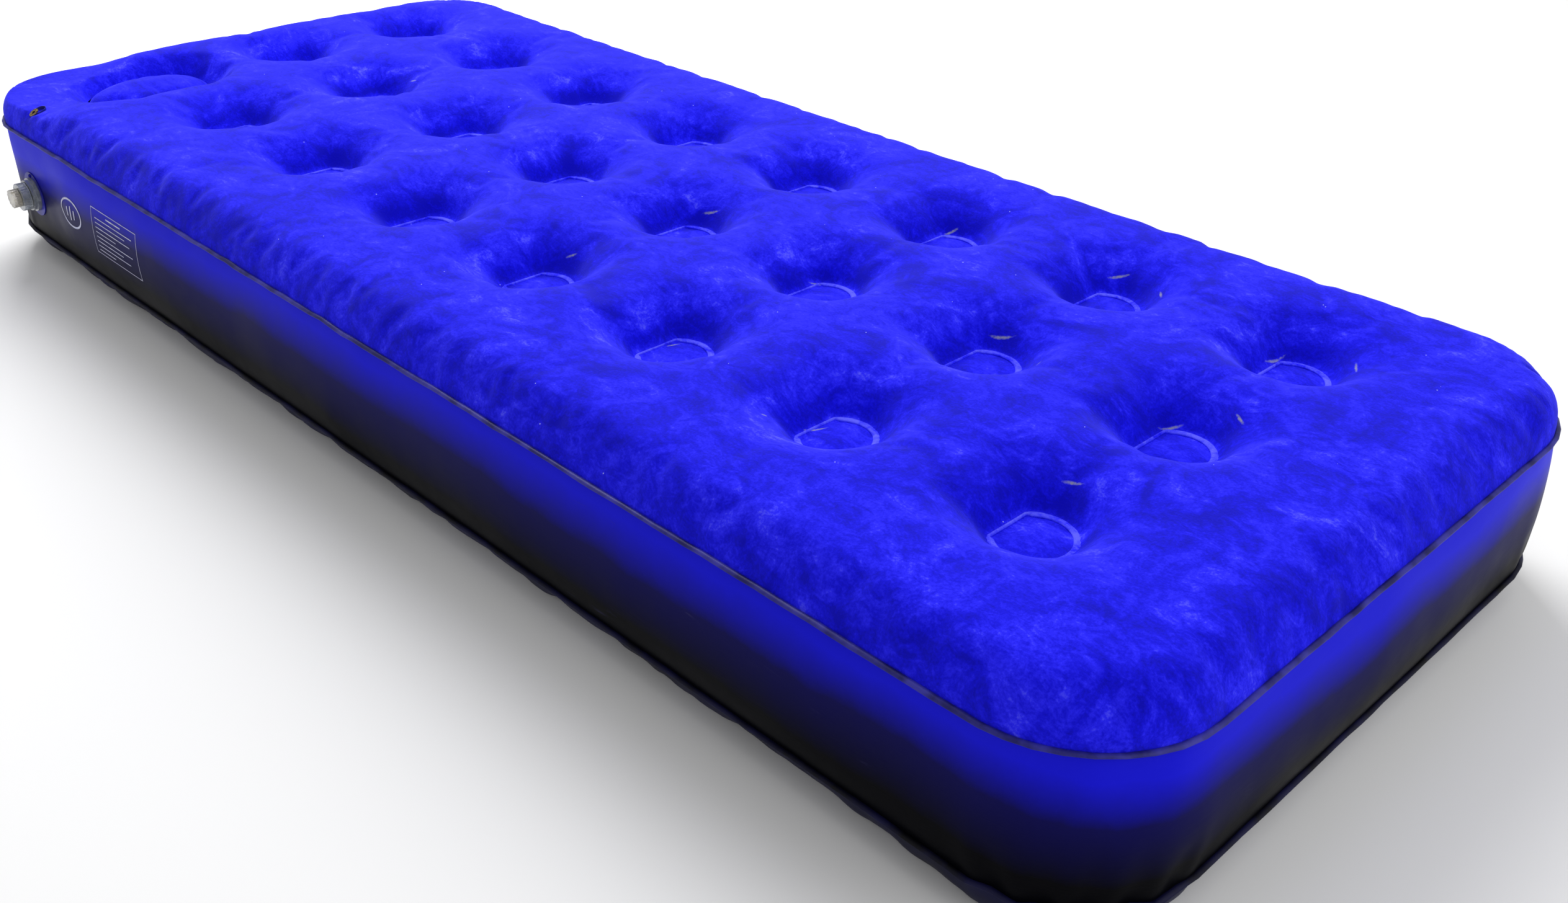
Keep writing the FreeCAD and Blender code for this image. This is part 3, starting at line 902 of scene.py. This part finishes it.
def makeWeldRings():
    deselectAll()
    bpy.ops.mesh.primitive_torus_add(major_segments=weldRing["turns"], minor_segments=weldRing["sides"],
                                     major_radius=1.0, minor_radius=0.1)
    pattern = bpy.context.object
    flat = readPoints(pattern)
    angle = np.arctan2(flat[:, 1], flat[:, 0])
    out = (np.hypot(flat[:, 0], flat[:, 1]) - 1.0) / 0.1
    rise = flat[:, 2] / 0.1
    limit = weldChord - (weldRadius - weldRing["middle"])
    x = np.cos(angle) * weldRing["middle"]
    straight = fade(-x, limit - 0.004, limit + 0.001)
    x = np.maximum(x, -limit)
    wide = weldRing["halfWide"] + (weldRing["straightWide"] - weldRing["halfWide"]) * straight
    flat[:, 0] = x + out * wide * (np.cos(angle) * (1 - straight) - straight)
    flat[:, 1] = np.sin(angle) * (weldRing["middle"] + out * wide * (1 - straight))
    flat[:, 2] = rise * weldRing["halfHigh"] + weldRing["lift"] + weldDome(weldGap(flat[:, 0] + coilCentres[0][0],
                                                                flat[:, 1] + coilCentres[0][1]))
    for k, (cx, cy) in enumerate(coilCentres):
        piece = pattern.copy()
        piece.data = pattern.data.copy()
        bpy.context.scene.collection.objects.link(piece)
        points = flat.copy()
        uneven = 1 + 0.012 * smoothNoise(points + k, 0.03, k)
        points[:, :2] *= uneven[:, None]
        points += np.array([cx, cy, weldLevel])
        writePoints(piece, points)
        smoothPiece(piece, 0)
        # ringFlock is the flock with a painted sheen.
        settle(piece, "coilWeldRing%02d" % (k + 1), "mattress", ringFlock)
    bpy.data.objects.remove(pattern)


makeWeldRings()
print("weld rings made")

# The foot pump's pad: a soft cushion sunk in its oval recess.

pad = {
    "across": 48,
    "tall": 24,
    "crown": 0.006,
    "skirt": 0.180,
    "shrink": -0.0008,
}
padCloth = dict(panelCloth, pressure=10.0, tension=20.0, shrink=-0.02, cap=0.005, frames=14)


def makePumpPad():
    deselectAll()
    bpy.ops.mesh.primitive_uv_sphere_add(segments=2 * pad["across"], ring_count=2 * pad["tall"], radius=1)
    piece = bpy.context.object
    points = readPoints(piece)
    halfWide = (padHigh.x - padLow.x) / 2 - pad["shrink"]
    straight = (padHigh.y - padLow.y) / 2 - (padHigh.x - padLow.x) / 2
    plan = np.hypot(points[:, 0], points[:, 1])
    rise = np.clip(points[:, 2], -1, 1)
    spread = np.where(rise > 0, plan ** 0.55, plan ** 0.2)
    angle = np.arctan2(points[:, 1], points[:, 0])
    x = np.cos(angle) * spread * halfWide
    y = np.sin(angle) * spread * halfWide
    y += np.sin(angle) * straight * spread
    top = padHigh.z - 0.002
    middle = top - 0.020
    upper = np.maximum(rise, 0)
    z = np.where(rise > 0, middle + (top - middle) * upper ** 0.8, middle + (middle - pad["skirt"]) * rise)
    z += np.where(rise > 0, pad["crown"] * (rise ** 2 - 0.5), 0)
    writePoints(piece, np.stack([pumpCentre.x + x, pumpCentre.y + y, z], 1))
    held = z < middle + 0.002
    blowOut(piece, held, padCloth)
    smoothPiece(piece, 1)
    points = readPoints(piece)
    wrinkle = smoothNoise(points, 0.022, 41) * 0.0010 * fade(points[:, 2], middle, top)
    points[:, 2] += wrinkle
    points[:, 2] = np.minimum(points[:, 2], padHigh.z + 0.006)
    writePoints(piece, points)
    settle(piece, "pumpPadCushion", "pump_pad", panelFlock)
    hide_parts("pump_pad")
    return piece


makePumpPad()
print("pump pad made")

# The foam block under the pad, which the pad squashes.

foamBlock = {
    "inset": 0.012,
    "below": 0.014,                   # its top under the pad's top
    "sides": 64,
    "round": 0.005,
}


def makeFoamBlock():
    foamLow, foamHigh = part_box("pump_foam")
    top = padHigh.z - foamBlock["below"]
    deselectAll()
    bpy.ops.mesh.primitive_cylinder_add(vertices=foamBlock["sides"], radius=1, depth=2, end_fill_type="NGON")
    piece = bpy.context.object
    points = readPoints(piece)
    halfWide = (foamHigh.x - foamLow.x) / 2 - foamBlock["inset"]
    straight = (foamHigh.y - foamLow.y - foamHigh.x + foamLow.x) / 2
    x = pumpCentre.x + points[:, 0] * halfWide
    y = pumpCentre.y + points[:, 1] * halfWide + np.sign(np.round(points[:, 1], 6)) * straight
    z = np.where(points[:, 2] > 0, top, foamLow.z)
    writePoints(piece, np.stack([x, y, z], 1))
    applyModifier(piece, "BEVEL", width=foamBlock["round"], segments=3)
    smoothPiece(piece, 0)
    settle(piece, "pumpFoamBlock", "mattress", foam)
    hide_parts("pump_foam")
    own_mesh(piece)


makeFoamBlock()
print("foam block made")

# The white print on the valve side: an oval ring with plain bars, and a panel of plain rules.

sidePrint = {
    "emblemPast": 0.150,              # middle of the emblem past the valve
    "emblemDown": 0.063,              # and under the top weld
    "emblemHalf": (0.033, 0.0185),
    "ringWide": 0.0026,
    "bars": [(-0.011, 0.012), (0.0, 0.018), (0.011, 0.012)],
    "barWide": 0.0032,
    "panelPast": (0.218, 0.343),
    "panelDown": (0.034, 0.093),
    "panelLine": 0.0009,
    "rules": [(0.34, 0.66, 1.5), (0.08, 0.90, 1.0), (0.08, 0.74, 1.0), (0.08, 0.84, 1.0), (0.08, 0.52, 1.0),
              (0.08, 0.88, 1.0), (0.08, 0.66, 1.0), (0.08, 0.80, 1.0), (0.08, 0.44, 1.0)],
    "ruleWide": 0.0011,
    "lift": 0.0004,
}


def printStrip(x0, x1, z0, z1):
    # One flat bar of ink, cut fine enough to follow the band.
    bpy.ops.mesh.primitive_plane_add(size=2, location=(0, 0, 0))
    strip = bpy.context.object
    bpy.ops.object.mode_set(mode="EDIT")
    bpy.ops.mesh.subdivide(number_cuts=14)
    bpy.ops.object.mode_set(mode="OBJECT")
    points = readPoints(strip)
    x = (x0 + x1) / 2 + points[:, 0] * (x1 - x0) / 2
    z = (z0 + z1) / 2 + points[:, 1] * (z1 - z0) / 2
    writePoints(strip, np.stack([x, np.zeros(len(x)), z], 1))
    return strip


def printRing(x, z, halfX, halfZ, wide):
    bpy.ops.mesh.primitive_circle_add(vertices=96, radius=1, fill_type="NOTHING")
    ring = bpy.context.object
    bpy.ops.object.mode_set(mode="EDIT")
    bpy.ops.mesh.select_all(action="SELECT")
    bpy.ops.mesh.extrude_edges_move()
    bpy.ops.transform.resize(value=(0.5, 0.5, 1), center_override=(0, 0, 0))
    bpy.ops.object.mode_set(mode="OBJECT")
    points = readPoints(ring)
    reach = np.hypot(points[:, 0], points[:, 1])
    angle = np.arctan2(points[:, 1], points[:, 0])
    inset = np.where(reach < 0.75, wide, 0)
    flatX = x + np.cos(angle) * (halfX - inset)
    flatZ = z + np.sin(angle) * (halfZ - inset)
    writePoints(ring, np.stack([flatX, np.zeros(len(flatX)), flatZ], 1))
    return ring


def makeSidePrint():
    x, z = valveCentre.x, bag["seamTop"]
    emblemX, emblemZ = x + sidePrint["emblemPast"], z - sidePrint["emblemDown"]
    halfX, halfZ = sidePrint["emblemHalf"]
    pieces = [printRing(emblemX, emblemZ, halfX, halfZ, sidePrint["ringWide"])]
    for off, high in sidePrint["bars"]:
        half = sidePrint["barWide"] / 2
        pieces.append(printStrip(emblemX + off - half, emblemX + off + half, emblemZ - high / 2, emblemZ + high / 2))
    left, right = x + sidePrint["panelPast"][0], x + sidePrint["panelPast"][1]
    high, low = z - sidePrint["panelDown"][0], z - sidePrint["panelDown"][1]
    line = sidePrint["panelLine"]
    pieces += [printStrip(left, right, high - line, high), printStrip(left, right, low, low + line),
               printStrip(left, left + line, low + line, high - line),
               printStrip(right - line, right, low + line, high - line)]
    count = len(sidePrint["rules"])
    for k, (start, end, heavy) in enumerate(sidePrint["rules"]):
        level = high - (high - low) * (k + 1) / (count + 1)
        half = sidePrint["ruleWide"] * heavy / 2
        pieces.append(printStrip(left + (right - left) * start, left + (right - left) * end,
                                 level - half, level + half))
    deselectAll()
    for piece in pieces:
        piece.select_set(True)
    bpy.context.view_layer.objects.active = pieces[0]
    bpy.ops.object.join()
    art = bpy.context.object
    tree = BVHTree.FromObject(sideBand, bpy.context.evaluated_depsgraph_get())
    points = readPoints(art)
    for k, (px, py, pz) in enumerate(points):
        hit = tree.ray_cast(Vector((px, bandLow.y - 0.2, pz)), Vector((0, 1, 0)))[0]
        points[k, 1] = hit.y - sidePrint["lift"]
    writePoints(art, points)
    makeActive(art)
    bpy.ops.object.mode_set(mode="EDIT")
    bpy.ops.mesh.select_all(action="SELECT")
    bpy.ops.mesh.normals_make_consistent(inside=False)
    bpy.ops.object.mode_set(mode="OBJECT")
    normals = np.zeros(len(art.data.polygons) * 3)
    art.data.polygons.foreach_get("normal", normals)
    inwards = normals.reshape(-1, 3)[:, 1] > 0
    art.data.polygons.foreach_set("select", inwards)
    bpy.ops.object.mode_set(mode="EDIT")
    bpy.ops.mesh.select_mode(type="FACE")
    bpy.ops.object.mode_set(mode="OBJECT")
    art.data.polygons.foreach_set("select", inwards)
    bpy.ops.object.mode_set(mode="EDIT")
    bpy.ops.mesh.flip_normals()
    bpy.ops.object.mode_set(mode="OBJECT")
    settle(art, "sidePrint", "mattress", ink)


makeSidePrint()
print("side print made")

# Floor, light and camera.

studio = {
    "floorWide": 14.0,
    "keySize": 2.2,
    "keyPower": 120.0,
    "keyPlace": (-1.9, 1.3, 2.3),
    "fillSize": 3.0,
    "fillPower": 30.0,
    "fillPlace": (2.8, 0.6, 1.9),
    "sky": 0.54,
}
camera = {
    "place": (1.3039, -1.0174, 0.8441),       # metres from the middle of the bag's underside
    "degrees": (60.026, -1.549, 43.831),
    "lens": 35.0,
    "shift": (-0.05109, -0.00376),
}


def makeStudio():
    deselectAll()
    bpy.ops.mesh.primitive_plane_add(size=studio["floorWide"], location=(0, 0, 0))
    floor = bpy.context.object
    floor.name = "studioFloor"
    material, tree, surface = newMaterial("PaperSweepWhite")
    surface.inputs["Base Color"].default_value = hexToLinear("#f4f4f4")
    surface.inputs["Roughness"].default_value = 0.9
    surface.inputs["Specular IOR Level"].default_value = 0.1
    floor.data.materials.append(material)
    world = bpy.data.worlds.new("studioWorld")
    bpy.context.scene.world = world
    world.use_nodes = True
    sky = world.node_tree.nodes["Background"]
    sky.inputs[0].default_value = (1.0, 1.0, 1.0, 1.0)
    sky.inputs[1].default_value = studio["sky"]
    for name in ("key", "fill"):
        place = Vector(studio[name + "Place"])
        bpy.ops.object.light_add(type="AREA", location=place)
        lamp = bpy.context.object
        lamp.name = name + "Softbox"
        lamp.data.size = studio[name + "Size"]
        lamp.data.energy = studio[name + "Power"]
        lamp.rotation_euler = (-place).to_track_quat("-Z", "Y").to_euler()
    bpy.ops.object.camera_add(location=camera["place"],
                              rotation=Euler([math.radians(a) for a in camera["degrees"]]))
    eye = bpy.context.object
    eye.name = "studioCamera"
    eye.data.lens = camera["lens"]
    eye.data.shift_x, eye.data.shift_y = camera["shift"]
    eye.data.clip_end = 50
    bpy.context.scene.camera = eye
    bpy.context.scene.view_settings.view_transform = "Standard"


makeStudio()
print("studio made")
